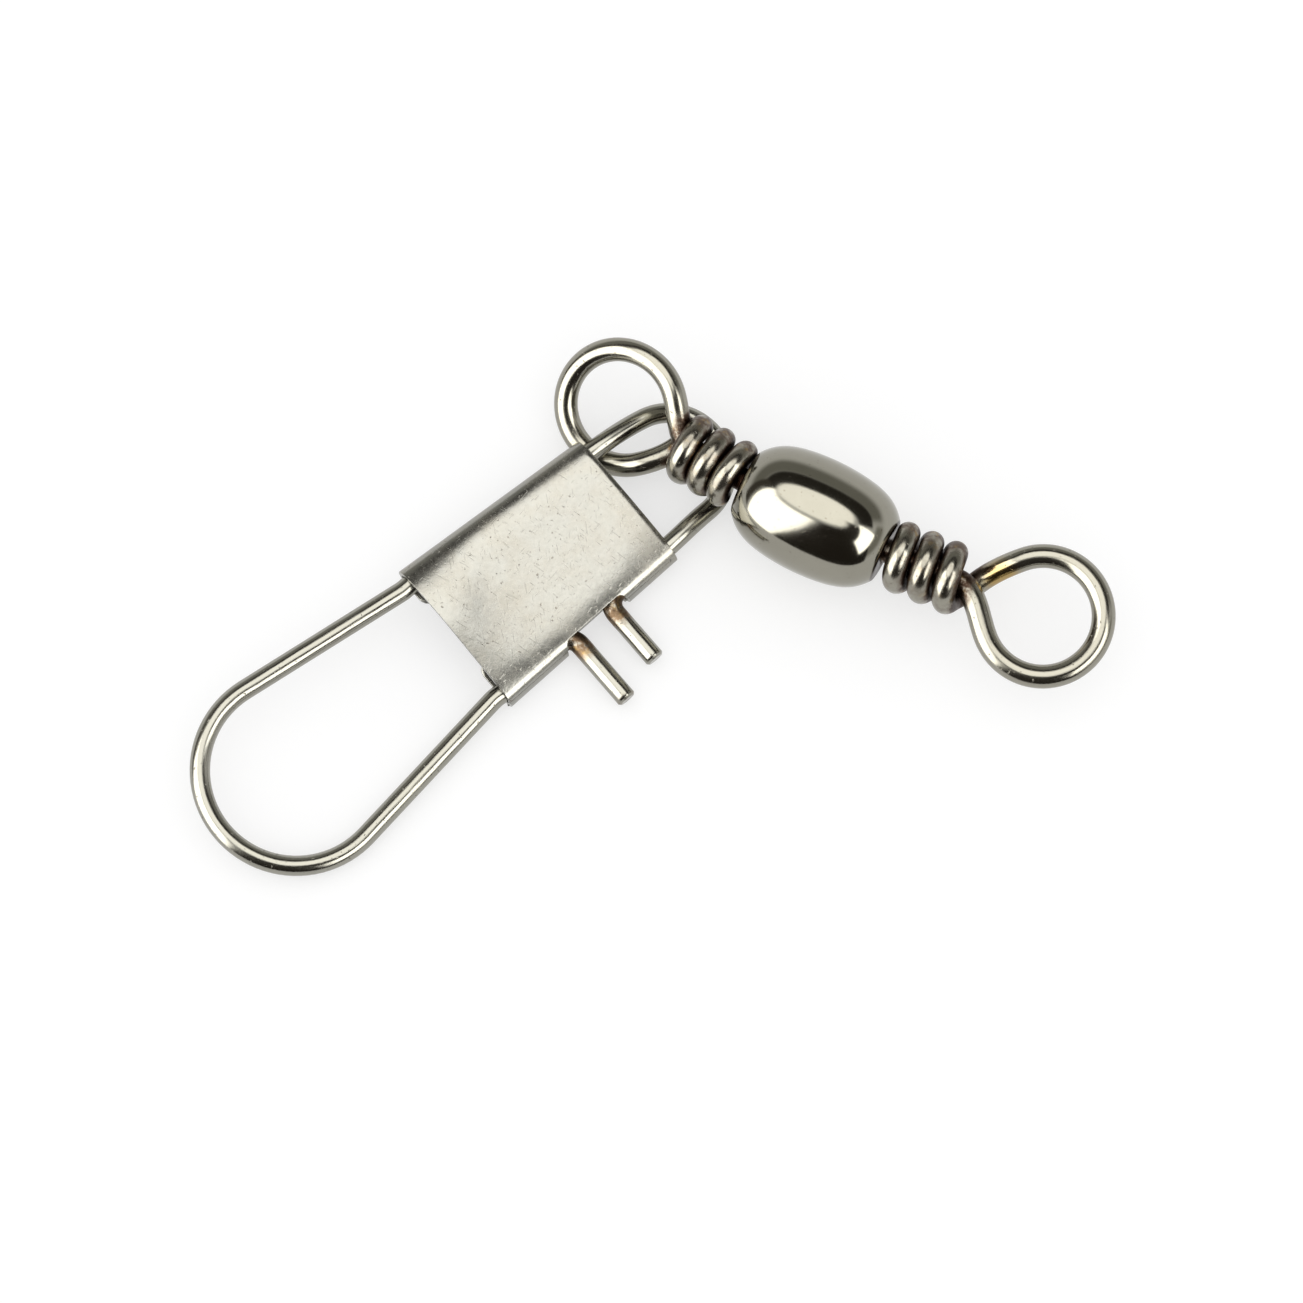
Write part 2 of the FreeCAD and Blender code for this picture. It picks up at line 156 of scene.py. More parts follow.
def wire_finish(name, bare, stain_and_shade_tint, soot_and_shade_tint, brass=(0.40, 0.27, 0.09)):
    """Plated wire: lines from the drawing die, smudges, and tarnish, painted shade and bare brass
    where marked.
    """
    material, board = new_finish(name)
    lap = board.node("ShaderNodeAttribute", {"attribute_name": "lap"}, out=1)
    run = board.node("ShaderNodeAttribute", {"attribute_name": "run"}, out=2)
    tarnish = board.node("ShaderNodeAttribute", {"attribute_name": "tarnish"}, out=2)
    worn = board.node("ShaderNodeAttribute", {"attribute_name": "worn"}, out=2)
    flat = board.node("ShaderNodeSeparateXYZ", {}, {0: lap})
    across = Level(board, flat.socket.node.outputs[1])
    skin = board.node("ShaderNodeCombineXYZ", {}, {0: flat, 1: across, 2: run})
    place = board.node("ShaderNodeTexCoord", out=3)
    drawn = board.noise(board.stretched(skin, (9, 9, 0.35)), 1.0, 3.0, 0.6)
    ripple = board.noise(board.stretched(skin, (0.8, 0.8, 0.9)), 1.0, 1.0)
    smudge = board.noise(place, 900, 4.0, 0.65)
    pits = board.ramp(board.noise(place, 6500, 2.0, 0.5), (0.0, 1.0), (0.27, 1.0), (0.31, 0.0))
    patch = board.ramp(board.noise(place, 1700, 4.0, 0.7), (0.38, 0.0), (0.60, 1.0))
    # stain and soot go where tarnish is marked; on the eyes' coils that mark is partly painted
    # shade
    stained = board.ramp(tarnish * (0.35 + 1.05 * patch), (0.10, 0.0), (0.60, 1.0))
    dark = board.ramp(tarnish * (0.60 + 0.50 * patch), (0.50, 0.0), (0.92, 1.0))
    yellow = board.ramp(board.noise(place, 2600, 3.0, 0.6), (0.57, 0.0), (0.64, 1.0))
    shade = board.mixed(smudge, tuple(0.90 * c for c in bare) + (1,), (*bare, 1))
    shade = board.mixed(stained, shade, (*stain_and_shade_tint, 1))
    shade = board.mixed(yellow * stained * 0.35 + 0.85 * worn, shade, (*brass, 1))
    shade = board.mixed(dark, shade, (*soot_and_shade_tint, 1))
    shade = board.mixed(pits * 0.5, shade, (*soot_and_shade_tint, 1))
    rough = 0.10 + 0.10 * smudge + 0.05 * drawn + 0.22 * stained
    dents = board.noise(place, 1300, 2.0, 0.6)
    relief = 0.5 * drawn + 2.6 * ripple - 1.2 * pits + 9.0 * tarnish * dents
    metal(board, shade, rough, relief, 0.000006)
    return material


def wire_tree():
    """Geometry Nodes that run a round wire through marked stations."""
    tree = bpy.data.node_groups.new("bent_wire", "GeometryNodeTree")
    board = Board(tree)
    ports = {}
    for name, kind in (("Geometry", "NodeSocketGeometry"), ("Wire Diameter", "NodeSocketFloat"),
                       ("Sides", "NodeSocketInt"), ("Fineness", "NodeSocketInt"),
                       ("Finish", "NodeSocketMaterial")):
        ports[name] = tree.interface.new_socket(name, in_out="INPUT", socket_type=kind).identifier
    tree.interface.new_socket("Geometry", in_out="OUTPUT", socket_type="NodeSocketGeometry")
    entry = tree.nodes.new("NodeGroupInput")
    given = {name: Level(board, entry.outputs[name]) for name in ports}

    def marked(name, kind="FLOAT_VECTOR"):
        return board.node("GeometryNodeInputNamedAttribute", {"data_type": kind}, {"Name": name})

    line = board.node("GeometryNodeMeshToCurve", {}, {"Mesh": given["Geometry"]})
    line = board.node("GeometryNodeCurveSplineType", {"spline_type": "BEZIER"}, {"Curve": line})
    line = board.node("GeometryNodeCurveSetHandles", {"handle_type": "FREE"}, {"Curve": line})
    for mode, name in (("LEFT", "arrive"), ("RIGHT", "leave")):
        line = board.node("GeometryNodeSetCurveHandlePositions", {"mode": mode},
                          {"Curve": line, "Position": marked(name)})
    line = board.node("GeometryNodeSetSplineResolution", {},
                      {"Geometry": line, "Resolution": given["Fineness"]})
    length = board.node("GeometryNodeSplineParameter", out=1) * (1 / MM)
    line = board.node("GeometryNodeStoreNamedAttribute", {"data_type": "FLOAT", "domain": "POINT"},
                      {"Geometry": line, "Name": "run", "Value": length})
    circle = board.node("GeometryNodeCurvePrimitiveCircle", {}, {
        "Resolution": given["Sides"], "Radius": given["Wire Diameter"] * 0.5})
    turned = board.node("ShaderNodeVectorMath", {"operation": "NORMALIZE"},
                        {0: board.node("GeometryNodeInputPosition")})
    circle = board.node("GeometryNodeStoreNamedAttribute",
                        {"data_type": "FLOAT_VECTOR", "domain": "POINT"},
                        {"Geometry": circle, "Name": "lap", "Value": turned})
    body = board.node("GeometryNodeCurveToMesh", {}, {
        "Curve": line, "Profile Curve": circle, "Scale": marked("swell", "FLOAT"),
        "Fill Caps": True})
    body = board.node("GeometryNodeSetShadeSmooth", {}, {"Geometry": body, "Shade Smooth": True})
    body = board.node("GeometryNodeRealizeInstances", {}, {"Geometry": body})
    body = board.node("GeometryNodeSetMaterial", {}, {
        "Geometry": body, "Material": given["Finish"]})
    board.node("NodeGroupOutput", {}, {"Geometry": body})
    return tree, ports


BENT_WIRE, WIRE_PORTS = wire_tree()


def in_scene(name, data):
    """An object that shows the data, put in the scene."""
    made = bpy.data.objects.new(name, data)
    bpy.context.scene.collection.objects.link(made)
    return made


def plain_mesh(source):
    """Turns the object's finished shape into a plain mesh, with its modifiers gone."""
    graph = bpy.context.evaluated_depsgraph_get()
    mesh = bpy.data.meshes.new_from_object(source.evaluated_get(graph))
    source.modifiers.clear()
    source.data = mesh


def bent_wire(name, stations, diameter, place, finish):
    """A round wire through stations: a point in mm, the wire's way there, and its swell."""
    leave, arrive = [], []
    for index, (point, way, swell) in enumerate(stations):
        for other, handles, sense in ((index + 1, leave, 1), (index - 1, arrive, -1)):
            if not 0 <= other < len(stations):
                handles.append(place @ (point * MM))
                continue
            chord = (stations[other][0] - point).length
            turn = way.angle(stations[other][1], 0.0)
            reach = chord / (3 * math.cos(turn / 4) ** 2)
            handles.append(place @ ((point + way * (reach * sense)) * MM))
    mesh = bpy.data.meshes.new(name)
    points = [place @ (point * MM) for point, way, swell in stations]
    mesh.from_pydata(points, [(i, i + 1) for i in range(len(points) - 1)], [])
    for label, values in (("arrive", arrive), ("leave", leave)):
        layer = mesh.attributes.new(label, "FLOAT_VECTOR", "POINT")
        layer.data.foreach_set("vector", [c for v in values for c in v])
    layer = mesh.attributes.new("swell", "FLOAT", "POINT")
    layer.data.foreach_set("value", [swell for point, way, swell in stations])
    wire = in_scene(name, mesh)
    nodes = wire.modifiers.new("bent_wire", "NODES")
    nodes.node_group = BENT_WIRE
    for label, value in (("Wire Diameter", diameter * MM), ("Sides", 36),
                         ("Fineness", 16), ("Finish", finish)):
        nodes[WIRE_PORTS[label]] = value
    plain_mesh(wire)
    for label in ("arrive", "leave", "swell"):
        if label in wire.data.attributes:
            wire.data.attributes.remove(wire.data.attributes[label])
    return wire


def eased(value, low, high):
    """0 below low, 1 above high, and a smooth rise between."""
    share = min(max((value - low) / (high - low), 0.0), 1.0)
    return share * share * (3 - 2 * share)


def marked_points(piece, place, **rules):
    """Stores a value at each point under each name, by a rule on its own place in mm."""
    back = place.inverted()
    for name, rule in rules.items():
        layer = piece.data.attributes.new(name, "FLOAT", "POINT")
        layer.data.foreach_set("value", [rule(back @ v.co / MM) for v in piece.data.vertices])


def unit(x, y, z=0.0):
    """A way of length one."""
    return Vector((x, y, z)).normalized()


def cut_end(stations, first, diameter):
    """Adds the bevelled rim of a cut end to a wire's first or last station."""
    point, way, swell = stations[0] if first else stations[-1]
    tip = (point, way, 1 - 2 * CUT_END_BEVEL / diameter)
    inner = (point + way * (CUT_END_BEVEL if first else -CUT_END_BEVEL), way, 1.0)
    if first:
        stations[0:1] = [tip, inner]
    else:
        stations[-1:] = [inner, tip]


def eye_stations(eye):
    """Stations of an eye's wire; X runs outward along the shank, the ring lies near XY."""
    wrap = EYE_WIRE + COIL_CLEARANCE
    coil_start = eye["coil_start"]
    head = BARREL_LENGTH / 2 - END_WALL - HEAD["play"] - HEAD["length"]
    outward = unit(1, 0)
    broad, broken = HEAD["dia"] / EYE_WIRE, HEAD["face"] / EYE_WIRE
    stations = [(Vector((head + step, 0, 0)), outward, swell) for step, swell in (
        (0, broken), (HEAD["bevel"], broad), (HEAD["length"] - HEAD["bevel"], broad),
        (HEAD["length"], broken), (HEAD["length"] + 0.005, 1.0))]
    stations.append((Vector((coil_start - eye["setback"], 0, 0)), outward, 1.0))
    throat = math.radians(eye["throat"])
    radius = eye["ring"] / 2
    slope = RING_SINK / (2 * (math.pi - throat))
    for step in range(5):
        turned = (math.pi - throat) * (step / 2 - 1)
        stations.append((
            Vector((eye["reach"] + radius * math.cos(turned), radius * math.sin(turned),
                    -slope * (turned + math.pi - throat))),
            unit(-radius * math.sin(turned), radius * math.cos(turned), -slope), 1.0))
    # the wraps stand square to the shank on top, and step on to the next one underneath
    point, way = eye["dive"]
    stations.append((Vector(point), unit(*way), 1.0))
    climb = eye["pitch"] / (2 * math.pi)
    steps = math.ceil(eye["turns"] * 6)
    for step in range(1, steps + 1):
        turned = eye["turns"] * 2 * math.pi * step / steps
        phase = turned - math.radians(eye["roll"])
        closed = eye["closed"] + eye["fanned"] * step / steps
        stations.append((
            Vector((coil_start - climb * (turned + closed * math.sin(phase)),
                    -wrap * math.sin(turned), -wrap * math.cos(turned))),
            unit(-climb * (1 + closed * math.cos(phase)),
                 -wrap * math.cos(turned), wrap * math.sin(turned)), 1.0))
    cut_end(stations, False, EYE_WIRE)
    return stations


# on the coils the stain and soot tints also serve as painted shade
eye_metal = wire_finish("plated_eye_wire", bare=(0.31, 0.297, 0.25),
                        stain_and_shade_tint=(0.110, 0.080, 0.060), soot_and_shade_tint=(0.030, 0.014, 0.008))
spins = {joint["name"]: joint for joint in frame["joints"]}
for name, eye in EYES.items():
    spin = spins[f"{name}_spin"]
    outward = Vector(spin["axis"]).normalized()
    level = Vector((0, 0, 1)).cross(outward).normalized()
    upright = outward.cross(level)
    seat = Matrix((outward, level, upright)).transposed().to_4x4()
    pivot = BARREL_LENGTH / 2 - END_WALL / 2
    seat.translation = Vector(spin["pos_m"]) - outward * (pivot * MM)
    place = seat @ Matrix.Rotation(math.radians(eye["roll"]), 4, "X")
    stations = eye_stations(eye)
    piece = bent_wire(f"{name}_wire", stations, EYE_WIRE, place, eye_metal)

    far_side = place.to_3x3().inverted() @ Vector((0, 1, 0))

    def coil_tarnish_and_painted_shade(at):
        """Tarnish and painted shade sit deep between the wraps and on the shank beside them, and
        the wraps' far side is darkened as painted shade.
        """
        depth = math.hypot(at.y, at.z)
        inside = 1 - eased(at.x, eye["coil_start"] + 0.1, eye["coil_start"] + 0.8)
        gap = 1 - eased(depth, 1.08, 1.38)
        # painted shade: the side of each wrap that faces away from the front is darkened
        far_side_painted_shade = eased((at.y * far_side.y + at.z * far_side.z) / (depth + 0.01), 0.15, 0.85)
        return inside * min(1.0, 0.20 + 0.38 * far_side_painted_shade + 0.9 * gap)

    def bare_brass(at):
        """The plating has worn off one side of the rear ring, where it leaves the throat."""
        ring_end, dive = stations[10][0], stations[11][0]
        spot = ring_end.lerp(dive, 0.45) + Vector((0.20, -0.20, 0.30))
        return 1 - eased((at - spot).length, 0.35, 0.95) if name == "rear_eye" else 0.0

    marked_points(piece, place, tarnish=coil_tarnish_and_painted_shade, worn=bare_brass)
    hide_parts(name)
    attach(piece, name)

# --- The barrel
# A short brass tube, turned hollow, crimped to an egg shape over the heads of both eyes,
# then plated and tumbled bright, so that it mirrors whatever stands round it.

BARREL = {"dia": 4.66, "bow": 0.0545, "crimp": 0.00065, "rim": 0.35, "rim_start": 52,
          "hole": 1.10, "hole_bevel": 0.05, "bore": 3.22, "bore_end": 2.18, "sides": 128}


def barrel_radius(x):
    """The back is nearly straight in the middle and rounds off ever faster towards the crimp."""
    return BARREL["dia"] / 2 - BARREL["bow"] * x ** 2 - BARREL["crimp"] * x ** 6


def barrel_outline():
    """The barrel's section: along its back, round one end, in at its hole, and through the bore."""
    half, inner, rim = BARREL_LENGTH / 2, BARREL_LENGTH / 2 - END_WALL, BARREL["rim"]
    hole, bevel = BARREL["hole"] / 2, BARREL["hole_bevel"]
    lean = math.radians(BARREL["rim_start"])
    shoulder = half - rim * (1 - math.sin(lean))
    places = [shoulder * math.sin(step / 24 * math.pi / 2) for step in range(-24, 25)]
    back = [(x, barrel_radius(x)) for x in places]
    corner = barrel_radius(shoulder) - rim * math.cos(lean)
    end = [(half - rim + rim * math.sin(a), corner + rim * math.cos(a))
           for a in (math.radians(d) for d in (60, 68, 76, 83, 90))]
    end += [(half, hole + bevel), (half - bevel, hole), (inner, hole),
            (inner, BARREL["bore_end"] / 2)]
    swell = (BARREL["bore"] - BARREL["bore_end"]) / 2
    bore = [(inner * math.cos(a), BARREL["bore_end"] / 2 + swell * math.sin(a) ** 2)
            for a in (math.radians(d) for d in range(15, 166, 15))]
    mirrored = [(-x, r) for x, r in reversed(end)]
    return back + end + bore + mirrored


def turned_piece(name, outline, place, finish):
    """A closed outline turned about X into a solid of revolution."""
    rows, count = len(outline), BARREL["sides"]
    points = [place @ (Vector((x, r * math.cos(a), r * math.sin(a))) * MM)
              for x, r in outline for a in (2 * math.pi * k / count for k in range(count))]
    faces = [(i * count + k, i * count + (k + 1) % count,
              (i + 1) % rows * count + (k + 1) % count, (i + 1) % rows * count + k)
             for i in range(rows) for k in range(count)]
    mesh = bpy.data.meshes.new(name)
    mesh.from_pydata(points, [], faces)
    mesh.validate()
    mesh.materials.append(finish)
    mesh.shade_smooth()
    mesh.set_sharp_from_angle(angle=math.radians(50))
    return in_scene(name, mesh)


def crimp_painted_shade(at):
    """Painted shade lies along the outer edge of both crimped ends, next to the wraps."""
    return eased(abs(at.x), BARREL_LENGTH / 2 - 0.10, BARREL_LENGTH / 2 - 0.01)


barrel_metal, board = new_finish("bright_plated_barrel")
place = board.node("ShaderNodeTexCoord", out=3)
tumbled = board.noise(place, 1400, 3.0, 0.6)
waves = board.noise(place, 420, 1.0)
specks = board.ramp(board.noise(place, 9000, 1.0), (0.0, 1.0), (0.24, 1.0), (0.28, 0.0))
shade = board.mixed(tumbled, (0.26, 0.249, 0.207, 1), (0.295, 0.283, 0.237, 1))
shade = board.mixed(specks * 0.4, shade, (0.10, 0.07, 0.04, 1))
crimp = board.node("ShaderNodeAttribute", {"attribute_name": "tarnish"}, out=2)
# painted shade: the crimped ends are darkened nearly to black
painted_crimp_shade = board.ramp(crimp * (0.6 + 0.8 * tumbled), (0.2, 0.0), (0.9, 1.0))
shade = board.mixed(painted_crimp_shade, shade, (0.035, 0.020, 0.013, 1))
rough = 0.07 + 0.07 * tumbled + 0.2 * crimp
relief = 1.2 * waves + 0.10 * tumbled - 0.08 * specks
metal(board, shade, rough, relief, 0.000012)

front, rear = (Vector(spins[name]["pos_m"]) for name in ("front_eye_spin", "rear_eye_spin"))
along = (rear - front).normalized()
across = Vector((0, 0, 1)).cross(along).normalized()
seat = Matrix((along, across, along.cross(across))).transposed().to_4x4()
seat.translation = (front + rear) / 2
barrel = turned_piece("barrel_shell", barrel_outline(), seat, barrel_metal)
marked_points(barrel, seat, tarnish=crimp_painted_shade)
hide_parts("barrel")
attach(barrel, "barrel")

# --- The snap's wire
# One length of plated spring wire. Both sides of its big loop run through the lock plate to the
# small loop, and both ends are bent out through the plate's notch as the two prongs that lock it.

SNAP_STOCK = 0.80
PLATE_LENGTH = 8.73
PLATE_REAR, PLATE_UPPER, PLATE_LOWER = 2.80, 2.30, 2.50
# rear and front: each prong's place along the plate, and its length
PRONGS = {"bend": 0.62, "lift": 5, "rear": (3.62, 3.45), "front": (5.50, 3.00)}
BIG_LOOP = {"reach": 8.08, "radius": 3.72, "taper": 7.3, "straight": 7.2}
SMALL_LOOP = {"reach": 2.25, "shift": -0.16, "radius": 2.22, "taper": 12, "bent_down": 7.6347}
snap_place = (Matrix.Translation(Vector((-7.7180, -1.1862, 1.091)) * MM)
              @ Matrix.Rotation(math.radians(40.6), 4, "Z")
              @ Matrix.Rotation(math.radians(8.4), 4, "X")
              @ Matrix.Rotation(math.radians(-0.3), 4, "Y"))


def upper_strand(along):
    """The middle of the upper strand at a place along the plate."""
    return Vector((along, PLATE_REAR + (PLATE_UPPER - PLATE_REAR) * along / PLATE_LENGTH, 0))


def lower_strand(along):
    """The middle of the lower strand at a place along the plate."""
    return Vector((along, -PLATE_REAR - (PLATE_LOWER - PLATE_REAR) * along / PLATE_LENGTH, 0))


def snap_stations():
    """Stations of the snap's wire; X runs along the plate, Y towards its upper fold."""
    upper_way = (upper_strand(1) - upper_strand(0)).normalized()
    lower_way = (lower_strand(1) - lower_strand(0)).normalized()
    lift = math.radians(PRONGS["lift"])
    prong_way = unit(0, -math.cos(lift), math.sin(lift))
    bend = PRONGS["bend"]
    (rear_place, rear_length), (front_place, front_length) = PRONGS["rear"], PRONGS["front"]
    rear_corner, front_corner = lower_strand(rear_place), lower_strand(front_place)
    stations = [(rear_corner + prong_way * rear_length, -prong_way),
                (rear_corner + prong_way * bend, -prong_way),
                (rear_corner - lower_way * bend, -lower_way),
                (lower_strand(SNAP_STOCK / 2), -lower_way)]
    taper = math.radians(BIG_LOOP["taper"])
    lower_side = unit(-math.cos(taper), -math.sin(taper))
    upper_side = unit(math.cos(taper), -math.sin(taper))
    for step in range(4):
        turned = taper - math.pi / 2 - (math.pi + 2 * taper) * step / 3
        outward = unit(math.cos(turned), math.sin(turned))
        point = Vector((-BIG_LOOP["reach"], 0, 0)) + outward * BIG_LOOP["radius"]
        if step == 0:
            stations.append((point - lower_side * BIG_LOOP["straight"], lower_side))
        stations.append((point, unit(outward.y, -outward.x)))
        if step == 3:
            stations.append((point + upper_side * BIG_LOOP["straight"], upper_side))
    stations += [(upper_strand(SNAP_STOCK / 2), upper_way), (upper_strand(PLATE_LENGTH), upper_way)]
    taper = math.radians(SMALL_LOOP["taper"])
    hinge = Vector((PLATE_LENGTH, 0, 0))
    bent = Matrix.Rotation(math.radians(SMALL_LOOP["bent_down"]), 3, "Y")
    for step in range(4):
        turned = math.pi / 2 - taper - (math.pi - taper) * step / 3
        outward = unit(math.cos(turned), math.sin(turned))
        middle = Vector((PLATE_LENGTH + SMALL_LOOP["reach"], SMALL_LOOP["shift"], 0))
        point = middle + outward * SMALL_LOOP["radius"]
        stations.append((hinge + bent @ (point - hinge), bent @ unit(outward.y, -outward.x)))
    stations += [(lower_strand(PLATE_LENGTH), -lower_way),
                 (front_corner + lower_way * bend, -lower_way),
                 (front_corner + prong_way * bend, prong_way),
                 (front_corner + prong_way * front_length, prong_way)]
    stations = [(point, way, 1.0) for point, way in stations]
    cut_end(stations, True, SNAP_STOCK)
    cut_end(stations, False, SNAP_STOCK)
    return stations


def snap_tarnish(at):
    """The prongs' bends are stained where the plating was strained."""
    bends = min((at - lower_strand(PRONGS[name][0])).length for name in ("rear", "front"))
    prong = at.y < -PLATE_LOWER and 2.8 < at.x < 6.4
    cut = eased(-at.y, 5.2, 6.4) * 0.25 if prong else 0.0
    return min(1.0, 0.8 * (1 - eased(bends, 0.5, 1.7)) + cut)


snap_metal = wire_finish("plated_snap_wire", bare=(0.32, 0.311, 0.27),
                         stain_and_shade_tint=(0.17, 0.115, 0.07), soot_and_shade_tint=(0.035, 0.022, 0.014))
snap_wire = bent_wire("snap_spring_wire", snap_stations(), SNAP_STOCK, snap_place, snap_metal)
marked_points(snap_wire, snap_place, tarnish=snap_tarnish)
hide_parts("snap_wire")
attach(snap_wire, "snap")

# --- The lock plate
# One piece of plated brass sheet, folded round both strands of the snap's wire and left open
# along the back. The notch in its lower fold lets the prongs out and holds them when it is shut.

SHEET = 0.20
PLATE_CLEARANCE = 0.035
FOLD = SNAP_STOCK / 2 + PLATE_CLEARANCE + SHEET / 2
FLANGES = {"upper": 1.10, "lower": 1.45, "round": 0.45, "setback": 0.30}
FLANGE_END = PLATE_LENGTH - FLANGES["setback"]
NOTCH = (3.10, 6.15)
NOTCH_EDGE, NOTCH_ROUND, FACE_EDGE = 0.14, 0.28, 0.42
NOTCH_FLARE = {"share": 0.21, "start": 0.10}
BOW = {"upper_tilt": 25.5, "rear_tilt": 5, "rear_width": 2.30, "rear_reach": 1.9,
       "lower_tilt": 9.5, "front_width": 1.50, "front_reach": 1.5, "width": 1.20}
ROLLED_EDGE = {"start": 0.22, "drop": 1.3, "blend": 0.25}
SHEARED_RIM = 0.035


def spread(start, end, count, ease=True):
    """Places from start to end: closer together at both ends, or even where ease is off."""
    steps = [k / count for k in range(count + 1)]
    return [start + (end - start) * ((1 - math.cos(math.pi * s)) / 2 if ease else s) for s in steps]


def corner_cut(x, start, end, radius):
    """How far a straight edge draws back at x, where its corners at start and end are round."""
    inside = min(x - start, end - x, radius)
    return radius - math.sqrt(max(0.0, radius ** 2 - (radius - inside) ** 2))


def notch_line(x):
    """How far past the lower strand the face reaches at x."""
    if NOTCH[0] <= x <= NOTCH[1]:
        return NOTCH_EDGE + corner_cut(x, *NOTCH, NOTCH_ROUND)
    return FACE_EDGE


def sheet_point(x, band, share):
    """A point of the sheet's middle skin: x along the plate, a band of it and a share across."""
    upper = PLATE_REAR + (PLATE_UPPER - PLATE_REAR) * x / PLATE_LENGTH
    lower = PLATE_REAR + (PLATE_LOWER - PLATE_REAR) * x / PLATE_LENGTH
    dent = math.asin(notch_line(x) / FOLD)
    if band == "upper_flange":
        tip = FLANGES["upper"] - corner_cut(x, 0, FLANGE_END, FLANGES["round"])
        return Vector((x, upper - tip * (1 - share), -FOLD))
    if band == "upper_under":
        turn = math.pi * (1 - share / 2)
        return Vector((x, upper + FOLD * math.sin(turn), FOLD * math.cos(turn)))
    # the face bows softly into both folds: widest at the upper rear and the lower front corner
    rear = math.exp(-(x / BOW["rear_reach"]) ** 2)
    front = math.exp(-((PLATE_LENGTH - x) / BOW["front_reach"]) ** 2)
    upper_tilt = math.radians(BOW["upper_tilt"] + BOW["rear_tilt"] * rear)
    lower_tilt = math.radians(BOW["lower_tilt"])
    if band == "upper_roll":
        turn = math.pi / 2 + (upper_tilt - math.pi / 2) * share
        return Vector((x, upper + FOLD * math.sin(turn), FOLD * math.cos(turn)))
    if band == "face":
        top, foot = upper + FOLD * math.sin(upper_tilt), -lower - FOLD * math.sin(lower_tilt)
        y = top + (foot - top) * share
        z = 0.0
        for tilt, width, distance, weight in (
                (upper_tilt, BOW["width"] + BOW["rear_width"] * rear, top - y, 1 - share),
                (lower_tilt, BOW["width"] + BOW["front_width"] * front, y - foot, share)):
            fall = max(0.0, 1 - distance / width) ** 3
            z += weight * (FOLD * math.cos(tilt) + math.tan(tilt) * width / 3)
            z -= math.tan(tilt) * width / 3 * fall
        # the shears have rolled the front edge down, but not where it runs into the folds
        rolled = max(0.0, x - PLATE_LENGTH + ROLLED_EDGE["start"])
        rolled *= eased(min(top - y, y - foot), 0, ROLLED_EDGE["blend"])
        return Vector((x, y, z - ROLLED_EDGE["drop"] * rolled ** 2))
    if band == "shoulder":
        turn = lower_tilt + (dent - lower_tilt) * share
    elif band == "lower_roll":
        turn = dent + (math.pi / 2 - dent) * share
    elif band == "lower_under":
        turn = math.pi / 2 + (math.pi / 2 - dent) * share
    elif band == "under_shoulder":
        turn = math.pi - dent * (1 - share)
    if band != "lower_flange":
        y = -(lower + FOLD * math.sin(turn))
        flare = NOTCH_FLARE["share"] * max(0.0, FOLD * math.sin(turn) - NOTCH_FLARE["start"])
        if band in ("lower_roll", "lower_under"):
            behind = x <= NOTCH[0]
            side = eased(x, 0, NOTCH[0]) if behind else eased(x, NOTCH[1], FLANGE_END) - 1
            x = x - flare * side
        return Vector((x, y, FOLD * math.cos(turn)))
    tip = FLANGES["lower"] - corner_cut(x, 0, FLANGE_END, FLANGES["round"])
    return Vector((x, -lower + tip * share, -FOLD))


# each band's rows of faces, whether the notch cuts it, and whether it ends with the flanges
BANDS = {"upper_flange": (5, False, True), "upper_under": (8, False, True),
         "upper_roll": (8, False, False), "face": (40, False, False), "shoulder": (4, False, False),
         "lower_roll": (6, True, False), "lower_under": (6, True, True),
         "under_shoulder": (4, False, True), "lower_flange": (6, False, True)}
columns = (spread(0, NOTCH[0], 18) + spread(*NOTCH, 22)[1:] + spread(NOTCH[1], FLANGE_END, 16)[1:]
           + spread(FLANGE_END, PLATE_LENGTH, 8, False)[1:])
points, faces, kept = [], [], {}
for band, (rows, notched, short) in BANDS.items():
    for left, right in zip(columns[:-1], columns[1:]):
        middle = (left + right) / 2
        if (notched and NOTCH[0] < middle < NOTCH[1]) or (short and middle > FLANGE_END):
            continue
        for row in range(rows):
            corners = []
            for x, share in ((left, row), (right, row), (right, row + 1), (left, row + 1)):
                at = sheet_point(x, band, share / rows)
                key = tuple(round(c, 4) for c in at)
                if key not in kept:
                    kept[key] = len(points)
                    points.append(snap_place @ (at * MM))
                corners.append(kept[key])
            if len(set(corners)) > 2:
                faces.append(list(dict.fromkeys(corners)))
mesh = bpy.data.meshes.new("lock_plate_sheet")
mesh.from_pydata(points, [], faces)
mesh.validate()
plate = in_scene("lock_plate_sheet", mesh)
wall = plate.modifiers.new("sheet", "SOLIDIFY")
wall.thickness = SHEET * MM
wall.offset = 0
wall.use_even_offset = True
rim = plate.modifiers.new("sheared_rim", "BEVEL")
rim.width = SHEARED_RIM * MM
rim.segments = 2
rim.limit_method = "ANGLE"
rim.angle_limit = math.radians(50)
plain_mesh(plate)

